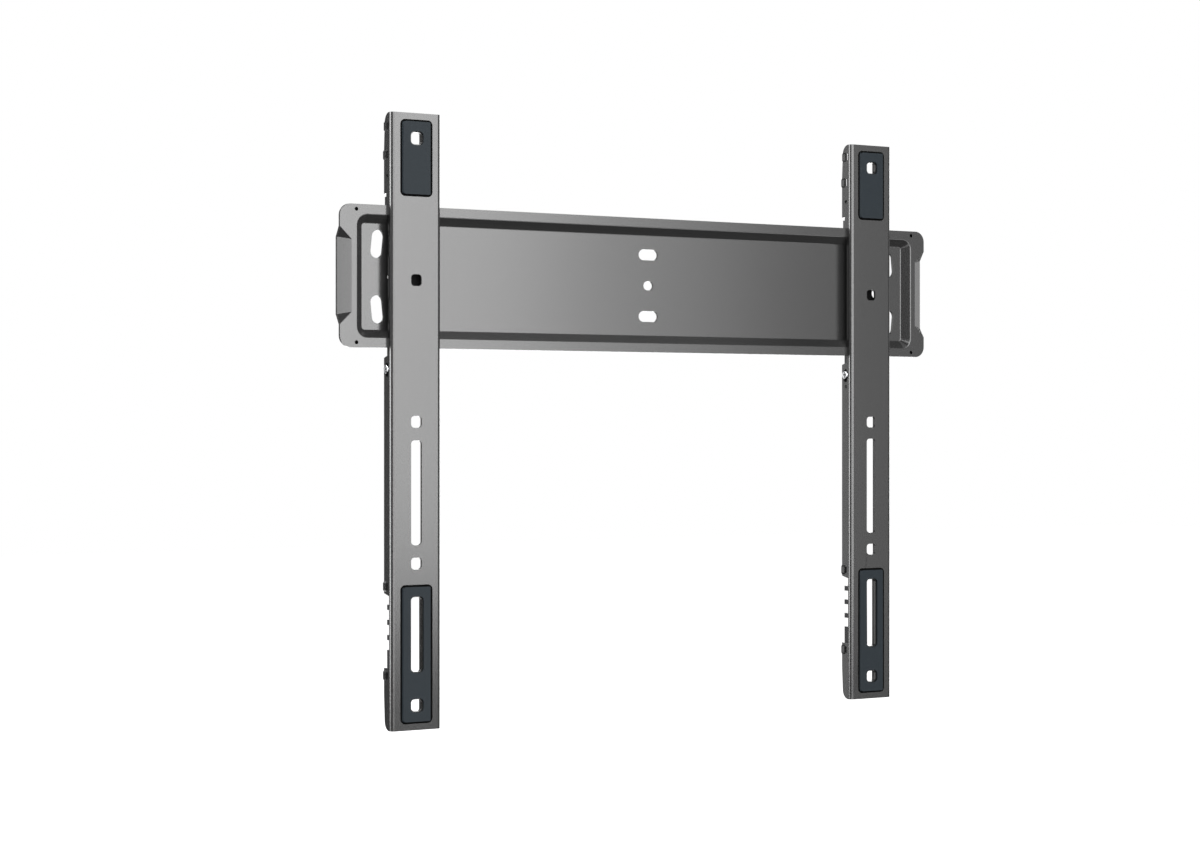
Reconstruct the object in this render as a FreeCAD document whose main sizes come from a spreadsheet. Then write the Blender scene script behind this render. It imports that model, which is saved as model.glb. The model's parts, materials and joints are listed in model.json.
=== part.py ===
import FreeCAD, Part
import math
import os
import re
import Sketcher

# Fixed wall bracket for a flat television, in millimetres, +Z up.
# A pressed wall plate lies on the wall, and two folded arms hook over its top edge.
# The row frame has its origin in the middle of the plate's back, on the wall, and +Y goes into the wall.
# An arm and its pads, slide, screws, pin and spring share the arm's frame: X = 0 is the arm's middle,
# Y = 0 its front face, and Z = 0 the middle of the mounting holes for the television.

# Driving dimensions: name, value and what it measures
WALL_PLATE_SIZES = (
    ("plate_width", 513.6, "wall plate, end to end"),
    ("plate_height", 100.3, "wall plate, edge to edge"),
    ("plate_sheet", 2.0, "sheet of the wall plate"),
    ("plate_depth", 7.75, "wall to the front of the rim"),
    ("plate_corner", 8.25, "outer corner of the rim"),
    ("rim_end", 13.4, "rim at the plate's ends, edge to bend line"),
    ("rim_side", 6.9, "rim along the plate, edge to bend line"),
    ("panel_corner", 2.25, "corner of the sunken panel"),
    ("rim_bend", 1.2, "rounded edge between the rim and the recess"),
    ("panel_bend", 1.0, "rounded foot of the recess's walls"),
    ("flap_run", 9.1, "end flap, bend line to outer edge"),
    ("flap_drop", 4.95, "end flap, how far its outer edge is set back"),
    ("flap_inner", 50.8, "end flap, height along its bend line"),
    ("flap_outer", 54.2, "end flap, height along its outer edge"),
    ("facet_span", 68.6, "end flap with its slanted facets, along the outer edge"),
    ("bolt_hole", 8.0, "round wall bolt hole"),
    ("bolt_inset", 43.65, "round wall bolt hole, from the plate's end"),
    ("end_slot_width", 9.2, "adjusting slots at the plate's ends"),
    ("end_slot_length", 19.7, "adjusting slots at the plate's ends"),
    ("end_slot_inset", 31.5, "adjusting slots, from the plate's end"),
    ("end_slot_rise", 23.05, "adjusting slot above or below the middle"),
    ("end_slot_lean", 5.8, "lean of the adjusting slots, degrees"),
    ("middle_slot_length", 17.0, "wall slots in the plate's middle"),
    ("middle_slot_width", 8.0, "wall slots in the plate's middle"),
    ("middle_slot_rise", 23.1, "middle slot above or below the middle"),
    ("centre_hole_width", 8.6, "centre hole"),
    ("centre_hole_height", 6.8, "centre hole"),
    ("dimple", 2.7, "blind dimples in the rim's corners"),
    ("dimple_depth", 1.4, "blind dimples"),
    ("dimple_inset", 12.8, "blind dimples, from the plate's end"),
    ("dimple_edge", 3.55, "blind dimples, from the plate's upper or lower edge"),
)
ARM_SIZES = (
    ("arm_spacing", 400.0, "between the two arms' middles"),
    ("arm_width", 39.5, "arm"),
    ("arm_top", 217.85, "arm's top end above the middle of its mounting holes"),
    ("arm_bottom", 217.6, "arm's bottom end below the middle of its mounting holes"),
    ("arm_sheet", 2.0, "sheet of the arms"),
    ("arm_bend", 1.0, "inside radius of the arm's bends"),
    ("arm_depth", 11.6, "front face to the rear edge of the side walls"),
    ("seat_depth", 5.45, "front face to where the side walls lie on the plate's rim"),
    ("arm_drop", 102.2, "middle of the mounting holes below the plate's middle"),
    ("hole_pitch", 100.0, "between neighbouring mounting holes"),
    ("hole_size", 8.3, "square mounting hole"),
    ("hole_corner", 1.45, "its cut corners"),
    ("long_slot", 73.9, "mounting slot, length"),
    ("low_slot", 52.5, "mounting slot in the lower pad, length"),
    ("end_taper", 1.4, "how much shallower the side walls are at their ends"),
    ("top_taper", 26.2, "length of that taper at the top"),
    ("bottom_taper", 24.6, "length of that taper at the bottom"),
    ("end_round", 7.0, "rounded rear corner of the side walls"),
    ("hook_gap", 0.3, "between the hook and the back of the rim"),
    ("hook_depth", 10.2, "front face to the hook's rear edge"),
    ("hook_reach", 4.4, "hook behind the rim, below its top edge"),
    ("hook_crown", 6.2, "hook above the rim's top edge"),
    ("hook_notch", 2.4, "height of the notch above the hook"),
    ("hook_notch_depth", 8.0, "front face to the bottom of that notch"),
    ("latch_gap", 5.2, "plate's bottom edge to where the side wall starts again"),
    ("latch_bevel", 1.8, "height of the bevel at that start"),
    ("window_top", 122.6, "low cut-out, top edge below the holes' middle"),
    ("window_bottom", 173.3, "low cut-out, bottom edge below the holes' middle"),
    ("window_lead", 2.8, "slope of the cut-out's top edge"),
    ("window_depth", 3.6, "front face to the front edge of the low cut-out"),
    ("bridge_hole", 4.9, "square hole of a cable-tie bridge, height"),
    ("bridge_hole_depth", 2.2, "square hole of a cable-tie bridge, along the side wall"),
    ("bridge_rear", 3.9, "strip behind that hole"),
    ("bridge_height", 7.3, "whole bridge"),
    ("bridge_offset", 0.8, "how far the strip stands out"),
    ("top_bridge", 208.2, "first bridge above the holes' middle"),
    ("top_bridge_shift", 1.2, "first bridge nearer to the front, along the slope"),
    ("second_bridge", 188.1, "second bridge above the holes' middle"),
    ("third_bridge", 116.1, "third bridge below the holes' middle"),
    ("fourth_bridge", 178.8, "fourth bridge below the holes' middle"),
    ("side_hole", 2.8, "small round holes in the side walls"),
    ("side_hole_depth", 6.6, "front face to the small round holes"),
    ("side_hole_high", 173.1, "upper small hole above the holes' middle"),
    ("spring_pin_height", 28.0, "spring pin above the holes' middle"),
)
PAD_SIZES = (
    ("pad_width", 25.0, "pad"),
    ("pad_raise", 1.8, "pad, thickness"),
    ("pad_corner", 3.6, "pad, corner"),
    ("pad_edge", 1.4, "pad, slanted front edge"),
    ("pad_clear", 0.7, "pad opening beyond the arm's opening, each side"),
    ("pad_hole_corner", 1.9, "cut corners of the pad's openings"),
    ("upper_pad_height", 54.2, "upper pad"),
    ("upper_pad_top", 4.65, "upper pad below the arm's top end"),
    ("lower_pad_height", 97.9, "lower pad"),
    ("lower_pad_bottom", 4.7, "lower pad above the arm's bottom end"),
)
LOCK_SIZES = (
    ("slide_gap", 0.35, "between the slide and the arm around it"),
    ("slide_sheet", 1.5, "walls of the lock slide"),
    ("slide_depth", 11.5, "front face of the arm to the slide's rear"),
    ("slide_opening", 20.8, "between the slide's rear lips"),
    ("slide_edge", 1.2, "slanted front corners of the slide"),
    ("slide_bottom", 190.0, "slide's bottom end below the holes' middle"),
    ("slide_travel", 4.0, "slide down to its open position"),
    ("nose_reach", 3.45, "nose behind the rim, above its bottom edge"),
    ("nose_lead", 1.6, "slanted tip of the nose"),
    ("upper_tie", 34.0, "height of the slide's front web at the top"),
    ("lower_tie", 10.5, "height of the slide's front web at the bottom"),
    ("shelf_drop", 7.7, "spring shelf below the plate's bottom edge"),
    ("comb_top", 129.0, "first grip below the holes' middle"),
    ("comb_pitch", 10.65, "between neighbouring grips"),
    ("comb_gap", 6.9, "gap between grips"),
    ("comb_count", 4, "gaps between grips"),
    ("comb_floor", 5.5, "front face of the arm to the bottom of the gaps"),
    ("screw_height", 37.1, "guide screw above the holes' middle"),
    ("screw_depth", 7.0, "front face to the guide screw"),
    ("screw_shank", 3.0, "shank of the guide screw"),
    ("screw_head", 6.6, "head of the guide screw"),
    ("screw_head_height", 1.1, "head of the guide screw"),
    ("screw_recess", 3.8, "cross recess, tip to tip"),
    ("screw_recess_width", 0.9, "cross recess, one groove"),
    ("screw_recess_depth", 0.8, "cross recess"),
    ("screw_fit", 0.05, "between the shank and the slide's bore"),
    ("screw_slot_width", 4.5, "slot for the guide screw"),
    ("screw_slot_above", 2.9, "slot above the resting screw"),
    ("boss_wall", 1.8, "wall of the screw boss around the shank"),
    ("boss_length", 3.0, "screw boss inside the slide's wall"),
    ("run_gap", 0.3, "running clearance at stops and seats"),
    ("spring_wire", 0.8, "spring wire"),
    ("spring_width", 5.2, "outside of the spring"),
    ("spring_turns", 4.5, "turns of the spring"),
    ("pin_fit", 0.05, "between the spring pin and its holes"),
)

# Sizes that follow from the driving ones, as formulas
RECESS_X = "(plate_width / 2 - rim_end)"
RECESS_Z = "(plate_height / 2 - rim_side)"
RECESS_DEPTH = "(plate_depth - plate_sheet)"
RECESS_CORNER = "(panel_corner + plate_depth - plate_sheet)"
BOWL_SHIFT = "(plate_sheet * sqrt(2) - plate_depth)"
RIM_TOP = "(arm_drop + plate_height / 2)"
RIM_BOTTOM = "(arm_drop - plate_height / 2)"
RIM_BACK = "(seat_depth + plate_sheet)"
WALL_X = "(arm_width / 2)"
WALL_INSIDE = "(arm_width / 2 - arm_sheet)"
SLIDE_X = "(arm_width / 2 - arm_sheet - slide_gap)"
SLIDE_INSIDE = "(arm_width / 2 - arm_sheet - slide_gap - slide_sheet)"
SLIDE_FRONT = "(arm_sheet + run_gap)"
SLIDE_WEB = "(arm_sheet + run_gap + slide_sheet)"
NOSE_TIP = "(arm_drop - plate_height / 2 + nose_reach)"
SLIDE_SEAT = "(arm_drop - plate_height / 2 - run_gap)"
SHELF_TOP = "(arm_drop - plate_height / 2 - shelf_drop)"
SPRING_FOOT = "(spring_pin_height + side_hole / 2 + run_gap)"
SPRING_HEAD = "(arm_drop - plate_height / 2 - shelf_drop - slide_sheet - run_gap)"
SLOT_BOTTOM = "(screw_height - screw_shank / 2 - slide_travel - run_gap)"
SLOT_TOP = "(screw_height + screw_shank / 2 + screw_slot_above)"

# The plate's walls stand at 45 degrees, so they run as far as they drop
WALL_SLOPE = 45

# How far cutting sketches reach past the sheet that they cut
BEYOND = "5"
# Straight runs in one turn of a spring
RUNS_PER_TURN = 8
# A cut that takes less than this many cubic millimetres has missed
LEAST_CUT = 0.01
NODES = []
NAMES = set()


def make_sheet(doc):
    """The spreadsheet of driving dimensions."""
    sheet = doc.addObject("Spreadsheet::Sheet", "size")
    row = 0
    for group in (WALL_PLATE_SIZES, ARM_SIZES, PAD_SIZES, LOCK_SIZES):
        for name, value, meaning in group:
            row += 1
            sheet.set(f"A{row}", name)
            sheet.set(f"B{row}", str(value))
            sheet.set(f"C{row}", meaning)
            sheet.setAlias(f"B{row}", name)
            NAMES.add(name)
    doc.recompute()
    return sheet


doc = FreeCAD.newDocument("bracket")
sheet = make_sheet(doc)


def full(formula):
    """A formula with each dimension's name led to the spreadsheet."""
    return re.sub(r"[a-z_]+[a-z0-9]*", lambda word: f"size.{word[0]}" if word[0] in NAMES else word[0], formula)


def number(formula):
    """What a formula comes to now."""
    return float(sheet.evalExpression(full(formula)))


def bind(thing, prop, formula):
    """Ties a property to a formula."""
    thing.setExpression(prop, full(formula))


def make_body(label, place=("0", "0", "0")):
    """A body with its own place."""
    body = doc.addObject("PartDesign::Body", label)
    body.Label = label
    for axis, formula in zip("xyz", place):
        bind(body, f".Placement.Base.{axis}", formula)
    NODES.append(body)
    return body


def make_sketch(body, plane, offset="0"):
    """A sketch on one of the body's own planes, moved along the plane's normal."""
    sketch = body.newObject("Sketcher::SketchObject", f"{body.Name}_sketch")
    found = [item for item in body.Origin.OriginFeatures if item.Role == plane]
    sketch.AttachmentSupport = [(found[0], "")]
    sketch.MapMode = "FlatFace"
    bind(sketch, ".AttachmentOffset.Base.z", offset)
    return sketch


def hold(sketch, kind, place, formula):
    """Holds a point of the sketch at a distance from an axis."""
    if formula == "0":
        axis = -2 if kind == "DistanceX" else -1
        sketch.addConstraint(Sketcher.Constraint("PointOnObject", place[0], place[1], axis))
        return
    index = sketch.addConstraint(Sketcher.Constraint(kind, -1, 1, place[0], place[1], number(formula)))
    bind(sketch, f"Constraints[{index}]", formula)


def polygon(sketch, corners):
    """A closed outline through the corners, each held by its two formulas."""
    points = [FreeCAD.Vector(number(x), number(y), 0) for x, y in corners]
    count = len(points)
    lines = []
    for i in range(count):
        lines.append(sketch.addGeometry(Part.LineSegment(points[i], points[(i + 1) % count]), False))
    for i in range(count):
        following = lines[(i + 1) % count]
        sketch.addConstraint(Sketcher.Constraint("Coincident", lines[i], 2, following, 1))
    for line, (x, y) in zip(lines, corners):
        hold(sketch, "DistanceX", (line, 1), x)
        hold(sketch, "DistanceY", (line, 1), y)


def radius(sketch, curves, formula):
    """Gives the curves one radius."""
    for curve in curves[1:]:
        sketch.addConstraint(Sketcher.Constraint("Equal", curves[0], curve))
    index = sketch.addConstraint(Sketcher.Constraint("Radius", curves[0], number(formula)))
    bind(sketch, f"Constraints[{index}]", formula)


def tangent_loop(sketch, curves):
    """Joins lines and arcs end to start, each tangent to the next."""
    for here, following in zip(curves, curves[1:] + curves[:1]):
        sketch.addConstraint(Sketcher.Constraint("Tangent", here, 2, following, 1))


def arc(sketch, centre, size, start):
    """A quarter arc from a start angle in degrees."""
    circle = Part.Circle(centre, FreeCAD.Vector(0, 0, 1), size)
    return sketch.addGeometry(Part.ArcOfCircle(circle, math.radians(start), math.radians(start + 90)), False)


def rounded_box(sketch, left, right, low, high, corner):
    """A rectangle with round corners between four formulas."""
    x0, x1, y0, y1, r = (number(item) for item in (left, right, low, high, corner))
    at = FreeCAD.Vector
    bottom = sketch.addGeometry(Part.LineSegment(at(x0 + r, y0, 0), at(x1 - r, y0, 0)), False)
    arc_1 = arc(sketch, at(x1 - r, y0 + r, 0), r, -90)
    side = sketch.addGeometry(Part.LineSegment(at(x1, y0 + r, 0), at(x1, y1 - r, 0)), False)
    arc_2 = arc(sketch, at(x1 - r, y1 - r, 0), r, 0)
    top = sketch.addGeometry(Part.LineSegment(at(x1 - r, y1, 0), at(x0 + r, y1, 0)), False)
    arc_3 = arc(sketch, at(x0 + r, y1 - r, 0), r, 90)
    other = sketch.addGeometry(Part.LineSegment(at(x0, y1 - r, 0), at(x0, y0 + r, 0)), False)
    arc_4 = arc(sketch, at(x0 + r, y0 + r, 0), r, 180)
    tangent_loop(sketch, [bottom, arc_1, side, arc_2, top, arc_3, other, arc_4])
    for line in (bottom, top):
        sketch.addConstraint(Sketcher.Constraint("Horizontal", line))
    for line in (side, other):
        sketch.addConstraint(Sketcher.Constraint("Vertical", line))
    radius(sketch, [arc_1, arc_2, arc_3, arc_4], corner)
    hold(sketch, "DistanceY", (bottom, 1), low)
    hold(sketch, "DistanceX", (side, 1), right)
    hold(sketch, "DistanceY", (top, 1), high)
    hold(sketch, "DistanceX", (other, 1), left)


def slot(sketch, x, y, length, width, lean="0"):
    """A slot with round ends about (x, y); its length leans from the X axis by some degrees."""
    reach = f"({length} - {width}) / 2"
    along = (f"{reach} * cos({lean} * 1deg)", f"{reach} * sin({lean} * 1deg)")
    first = (f"{x} - {along[0]}", f"{y} - {along[1]}")
    second = (f"{x} + {along[0]}", f"{y} + {along[1]}")
    r = number(f"{width} / 2")
    turn = math.radians(number(lean))
    p = FreeCAD.Vector(number(first[0]), number(first[1]), 0)
    q = FreeCAD.Vector(number(second[0]), number(second[1]), 0)
    side = FreeCAD.Vector(math.sin(turn), -math.cos(turn), 0) * r
    axis = FreeCAD.Vector(0, 0, 1)
    quarter = math.pi / 2
    low = sketch.addGeometry(Part.LineSegment(p + side, q + side), False)
    end = sketch.addGeometry(Part.ArcOfCircle(Part.Circle(q, axis, r), turn - quarter, turn + quarter), False)
    high = sketch.addGeometry(Part.LineSegment(q - side, p - side), False)
    begin = sketch.addGeometry(Part.ArcOfCircle(Part.Circle(p, axis, r), turn + quarter, turn + 3 * quarter), False)
    tangent_loop(sketch, [low, end, high, begin])
    radius(sketch, [end, begin], f"{width} / 2")
    for curve, centre in ((begin, first), (end, second)):
        hold(sketch, "DistanceX", (curve, 3), centre[0])
        hold(sketch, "DistanceY", (curve, 3), centre[1])


def disc(sketch, x, y, width):
    """A circle about (x, y)."""
    centre = FreeCAD.Vector(number(x), number(y), 0)
    circle = sketch.addGeometry(Part.Circle(centre, FreeCAD.Vector(0, 0, 1), number(f"{width} / 2")), False)
    radius(sketch, [circle], f"{width} / 2")
    hold(sketch, "DistanceX", (circle, 3), x)
    hold(sketch, "DistanceY", (circle, 3), y)


def pad(body, sketch, length, way="One side", turned=False):
    """Adds the sketch's area, drawn out by a length."""
    feature = body.newObject("PartDesign::Pad", f"{body.Name}_pad")
    feature.Profile = sketch
    feature.SideType = way
    feature.Reversed = turned
    bind(feature, "Length", length)
    return finish_feature(body, sketch, feature)


def pocket(body, sketch, length=None, way="One side", turned=False):
    """Takes the sketch's area away, to a depth or right through."""
    before = body.Tip.Shape.Volume
    feature = body.newObject("PartDesign::Pocket", f"{body.Name}_pocket")
    feature.Profile = sketch
    feature.SideType = way
    feature.Reversed = turned
    if length is None:
        feature.Type = "ThroughAll"
    else:
        bind(feature, "Length", length)
    finish_feature(body, sketch, feature)
    if feature.Shape.Volume > before - LEAST_CUT:
        raise RuntimeError(f"{feature.Name} takes nothing away")
    return feature


def slant(feature, degrees):
    """Makes the sides of a pad or pocket slant."""
    feature.TaperAngle = degrees
    doc.recompute()


def loft(body, kind, first, second):
    """A straight-sided body of two sketched sections."""
    feature = body.newObject(f"PartDesign::{kind}", f"{body.Name}_loft")
    feature.Profile = first
    feature.Sections = [second]
    feature.Ruled = True
    return finish_feature(body, first, feature)


def finish_feature(body, sketch, feature):
    """Works the new feature out and makes it the body's last one."""
    sketch.Visibility = False
    body.Tip = feature
    doc.recompute()
    return feature


def dress(body, kind, formula, test):
    """A fillet or chamfer on each edge that passes the test."""
    base = body.Tip
    names = [f"Edge{i}" for i, edge in enumerate(base.Shape.Edges, start=1) if test(edge)]
    if not names:
        raise RuntimeError(f"{body.Name}: no edge for a {kind}")
    feature = body.newObject(f"PartDesign::{kind}", f"{body.Name}_{kind}")
    feature.Base = (base, names)
    bind(feature, "Radius" if kind == "Fillet" else "Size", formula)
    body.Tip = feature
    doc.recompute()
    return feature


def mirror(body, features, plane):
    """Repeats features on the other side of one of the body's planes."""
    feature = body.newObject("PartDesign::Mirrored", f"{body.Name}_mirror")
    found = [item for item in body.Origin.OriginFeatures if item.Role == plane]
    feature.Originals = features
    feature.MirrorPlane = (found[0], [""])
    body.Tip = feature
    doc.recompute()
    return feature


def near(value, formula):
    """Whether a value is the one that a formula gives."""
    return abs(value - number(formula)) < 1e-4


def level(edge, axis, formula):
    """Whether all of an edge lies at one level along an axis."""
    box = edge.BoundBox
    return near(getattr(box, f"{axis}Min"), formula) and near(getattr(box, f"{axis}Max"), formula)


def upright(edge, axis):
    """Whether an edge is a straight line along an axis."""
    if not isinstance(edge.Curve, Part.Line):
        return False
    return abs(abs(getattr(edge.Curve.Direction, axis)) - 1) < 1e-6


# Wall plate


def add_bowl(body):
    """The pressed bowl behind the rim, still solid in front; its walls spread towards the rim."""
    sketch = make_sketch(body, "XZ_Plane")
    x = f"({RECESS_X} + {BOWL_SHIFT})"
    z = f"({RECESS_Z} + {BOWL_SHIFT})"
    rounded_box(sketch, f"-{x}", x, f"-{z}", z, f"({RECESS_CORNER} + {BOWL_SHIFT})")
    bowl = pad(body, sketch, "plate_depth")
    slant(bowl, WALL_SLOPE)


def add_rim(body):
    """The flat rim around the bowl."""
    sketch = make_sketch(body, "XZ_Plane", RECESS_DEPTH)
    rim_outline(sketch)
    pad(body, sketch, "plate_sheet")


def rim_outline(sketch):
    """The plate's outer edge."""
    rounded_box(
        sketch, "-plate_width / 2", "plate_width / 2", "-plate_height / 2", "plate_height / 2", "plate_corner"
    )


def cut_recess(body):
    """The sunken front of the bowl, narrowing towards the panel."""
    sketch = make_sketch(body, "XZ_Plane", "plate_depth")
    rounded_box(sketch, f"-{RECESS_X}", RECESS_X, f"-{RECESS_Z}", RECESS_Z, RECESS_CORNER)
    recess = pocket(body, sketch, RECESS_DEPTH)
    slant(recess, -WALL_SLOPE)


def flap_section(body, depth, drop):
    """The outline of an end flap's dent at a depth below the rim's front, drawn on past the plate's edge."""
    sketch = make_sketch(body, "XZ_Plane", f"plate_depth - {depth}")
    edge_x = "plate_width / 2"
    spread = "(facet_span - flap_inner) / 2 / flap_run"
    if drop:
        near_x, near_z = edge_x, "flap_outer / 2"
    else:
        near_x, near_z = f"({edge_x} - flap_run)", "flap_inner / 2"
    far_x = f"({near_x} + 2 * flap_run)"
    far_z = f"({near_z} + 2 * flap_run * {spread})"
    polygon(sketch, [(near_x, f"-{near_z}"), (far_x, f"-{far_z}"), (far_x, far_z), (near_x, near_z)])
    return sketch


def add_flaps(body):
    """The bent end flaps: the sheet set back towards the wall between two slanted facets."""
    back = [flap_section(body, "plate_sheet", False), flap_section(body, "(plate_sheet + flap_drop)", True)]
    added = loft(body, "AdditiveLoft", *back)
    back[1].Visibility = False
    mirror(body, [added], "YZ_Plane")
    front = [flap_section(body, "0", False), flap_section(body, "flap_drop", True)]
    cut = loft(body, "SubtractiveLoft", *front)
    front[1].Visibility = False
    mirror(body, [cut], "YZ_Plane")
    trim = make_sketch(body, "XZ_Plane")
    rounded_box(trim, "-plate_width", "plate_width", "-plate_height", "plate_height", "plate_corner")
    rim_outline(trim)
    pocket(body, trim, way="Symmetric")


def round_bends(body):
    """The rounded bends on the front of the pressed sheet."""

    def on_recess(edge, depth, shift):
        box = edge.BoundBox
        level_here = level(edge, "Y", depth)
        x = number(f"{RECESS_X} + {shift}")
        z = number(f"{RECESS_Z} + {shift}")
        inside = box.XMax < x + 0.01 and box.XMin > -x - 0.01 and box.ZMax < z + 0.01 and box.ZMin > -z - 0.01
        centre = edge.CenterOfMass
        at_edge = abs(abs(centre.x) - x) < 3 or abs(abs(centre.z) - z) < 3
        return level_here and inside and at_edge

    dress(body, "Fillet", "rim_bend", lambda edge: on_recess(edge, "-plate_depth", "0"))
    dress(body, "Fillet", "panel_bend", lambda edge: on_recess(edge, "-plate_sheet", f"0 - {RECESS_DEPTH}"))


def cut_plate_holes(body):
    """The wall bolt holes and slots."""
    sketch = make_sketch(body, "XZ_Plane")
    for sign in ("-", ""):
        disc(sketch, f"{sign}(plate_width / 2 - bolt_inset)", "0", "bolt_hole")
        for rise in ("", "-"):
            # Away from mid height the slots lean towards the plate's middle
            turn = f"(90 {'+' if (sign == '') == (rise == '') else '-'} end_slot_lean)"
            across, up = f"{sign}(plate_width / 2 - end_slot_inset)", f"{rise}end_slot_rise"
            slot(sketch, across, up, "end_slot_length", "end_slot_width", turn)
    for rise in ("-", ""):
        slot(sketch, "0", f"{rise}middle_slot_rise", "middle_slot_length", "middle_slot_width")
    slot(sketch, "0", "0", "centre_hole_width", "centre_hole_height")
    pocket(body, sketch, way="Symmetric")


def cut_dimples(body):
    """The blind dimples in the rim's corners."""
    sketch = make_sketch(body, "XZ_Plane", "plate_depth")
    for sign in ("-", ""):
        for rise in ("-", ""):
            across = f"{sign}(plate_width / 2 - dimple_inset)"
            disc(sketch, across, f"{rise}(plate_height / 2 - dimple_edge)", "dimple")
    pocket(body, sketch, "dimple_depth")


def make_wall_plate():
    """The pressed wall plate."""
    body = make_body("wall_plate")
    add_bowl(body)
    add_rim(body)
    cut_recess(body)
    round_bends(body)
    add_flaps(body)
    cut_plate_holes(body)
    cut_dimples(body)


# Arms


def arm_place(side, x="0", y="0", z="0"):
    """A place in an arm's frame, as a place in the row frame."""
    return (f"{side} * arm_spacing / 2 + {x}", f"{y} - plate_depth - seat_depth", f"{z} - arm_drop")


def add_channel(body):
    """The folded channel, open at its ends and at the rear."""
    sketch = make_sketch(body, "XY_Plane", "-arm_bottom")
    polygon(
        sketch,
        [
            (f"-{WALL_X}", "arm_depth"),
            (f"-{WALL_X}", "0"),
            (WALL_X, "0"),
            (WALL_X, "arm_depth"),
            (WALL_INSIDE, "arm_depth"),
            (WALL_INSIDE, "arm_sheet"),
            (f"-{WALL_INSIDE}", "arm_sheet"),
            (f"-{WALL_INSIDE}", "arm_depth"),
        ],
    )
    pad(body, sketch, "arm_top + arm_bottom")
    dress(body, "Fillet", "arm_bend + arm_sheet", lambda edge: upright(edge, "z") and level(edge, "Y", "0"))
    dress(body, "Fillet", "arm_bend", lambda edge: upright(edge, "z") and level(edge, "Y", "arm_sheet"))


def cut_side_outline(body):
    """The side walls' rear outline: tapered ends, and the hook over the plate's rim."""
    sketch = make_sketch(body, "YZ_Plane")
    far = f"(arm_depth + {BEYOND})"
    hook_front = f"({RIM_BACK} + hook_gap)"
    hook_tip = f"({RIM_TOP} - hook_reach)"
    hook_top = f"({RIM_TOP} + hook_crown)"
    restart = f"({RIM_BOTTOM} - latch_gap)"
    polygon(
        sketch,
        [
            (far, f"({hook_top} + hook_notch)"),
            ("hook_notch_depth", f"({hook_top} + hook_notch)"),
            ("hook_notch_depth", hook_top),
            ("hook_depth", hook_top),
            ("hook_depth", hook_tip),
            (hook_front, hook_tip),
            (hook_front, RIM_TOP),
            ("seat_depth", RIM_TOP),
            ("seat_depth", restart),
            ("arm_depth", f"({restart} - latch_bevel)"),
            (far, f"({restart} - latch_bevel)"),
        ],
    )
    top = ("arm_top", "top_taper", "")
    bottom = ("arm_bottom", "bottom_taper", "-")
    for end, taper, sign in (top, bottom):
        tip = f"{sign}({end} + {BEYOND})"
        start = f"{sign}({end} - {taper})"
        slope = f"(arm_depth - end_taper * ({taper} + {BEYOND}) / {taper})"
        polygon(sketch, [("arm_depth", start), (slope, tip), (far, tip), (far, start)])
    pocket(body, sketch, way="Symmetric")
    rear = number("arm_depth - 2 * end_taper")

    def at_end(edge):
        at_level = near(edge.BoundBox.ZMax, "arm_top") or near(edge.BoundBox.ZMax, "-arm_bottom")
        return upright(edge, "x") and at_level and edge.BoundBox.YMin > rear

    dress(body, "Fillet", "end_round", at_end)


def cut_side_openings(body):
    """The low cut-out for the slide's grips, the screw slots and the small holes of both side walls."""
    sketch = make_sketch(body, "YZ_Plane")
    far = f"(arm_depth + {BEYOND})"
    polygon(
        sketch,
        [
            ("window_depth", "-window_top"),
            (far, "(window_lead - window_top)"),
            (far, "-window_bottom"),
            ("window_depth", "-window_bottom"),
        ],
    )
    middle, reach = f"(({SLOT_TOP} + {SLOT_BOTTOM}) / 2)", f"({SLOT_TOP} - {SLOT_BOTTOM})"
    slot(sketch, "screw_depth", middle, reach, "screw_slot_width", "90")
    disc(sketch, "side_hole_depth", "side_hole_high", "side_hole")
    disc(sketch, "side_hole_depth", "spring_pin_height", "side_hole")
    pocket(body, sketch, way="Symmetric")


def add_bridge(body, height, shift):
    """A cable-tie bridge in each side wall: a square hole, with the strip behind it pressed outward."""
    rear = f"(arm_depth - {shift})"
    strip = f"({rear} - bridge_rear)"
    window = make_sketch(body, "YZ_Plane")
    far = f"(arm_depth + {BEYOND})"
    low, high = f"({height} - bridge_hole / 2)", f"({height} + bridge_hole / 2)"
    start, end = f"({height} - bridge_height / 2)", f"({height} + bridge_height / 2)"
    hole_front = f"({strip} - bridge_hole_depth)"
    polygon(
        window,
        [
            (hole_front, low),
            (strip, low),
            (strip, start),
            (far, start),
            (far, end),
            (strip, end),
            (strip, high),
            (hole_front, high),
        ],
    )
    pocket(body, window, way="Symmetric")
    press = make_sketch(body, "XZ_Plane", f"-{rear}")
    for side in ("-", ""):
        polygon(
            press,
            [
                (f"{side}{WALL_X}", start),
                (f"{side}({WALL_X} + bridge_offset)", low),
                (f"{side}({WALL_X} + bridge_offset)", high),
                (f"{side}{WALL_X}", end),
                (f"{side}{WALL_INSIDE}", end),
                (f"{side}({WALL_INSIDE} + bridge_offset)", high),
                (f"{side}({WALL_INSIDE} + bridge_offset)", low),
                (f"{side}{WALL_INSIDE}", start),
            ],
        )
    pad(body, press, "bridge_rear")


def cut_openings(body, levels, margin, corner, depth=None):
    """The square mounting holes and the mounting slots, wider by a margin, with cut corners."""
    sketch = make_sketch(body, "XZ_Plane", BEYOND)
    half = f"(hole_size / 2 + {margin})"
    inner = f"({half} - {corner})"
    for middle, length in levels:
        reach = f"({length} / 2 + {margin})"
        low, high = f"({middle} - {reach})", f"({middle} + {reach})"
        above, below = f"({low} + {corner})", f"({high} - {corner})"
        right = [(inner, low), (half, above), (half, below), (inner, high)]
        left = [(f"-{inner}", high), (f"-{half}", below), (f"-{half}", above), (f"-{inner}", low)]
        polygon(sketch, right + left)
    pocket(body, sketch, depth)


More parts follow.
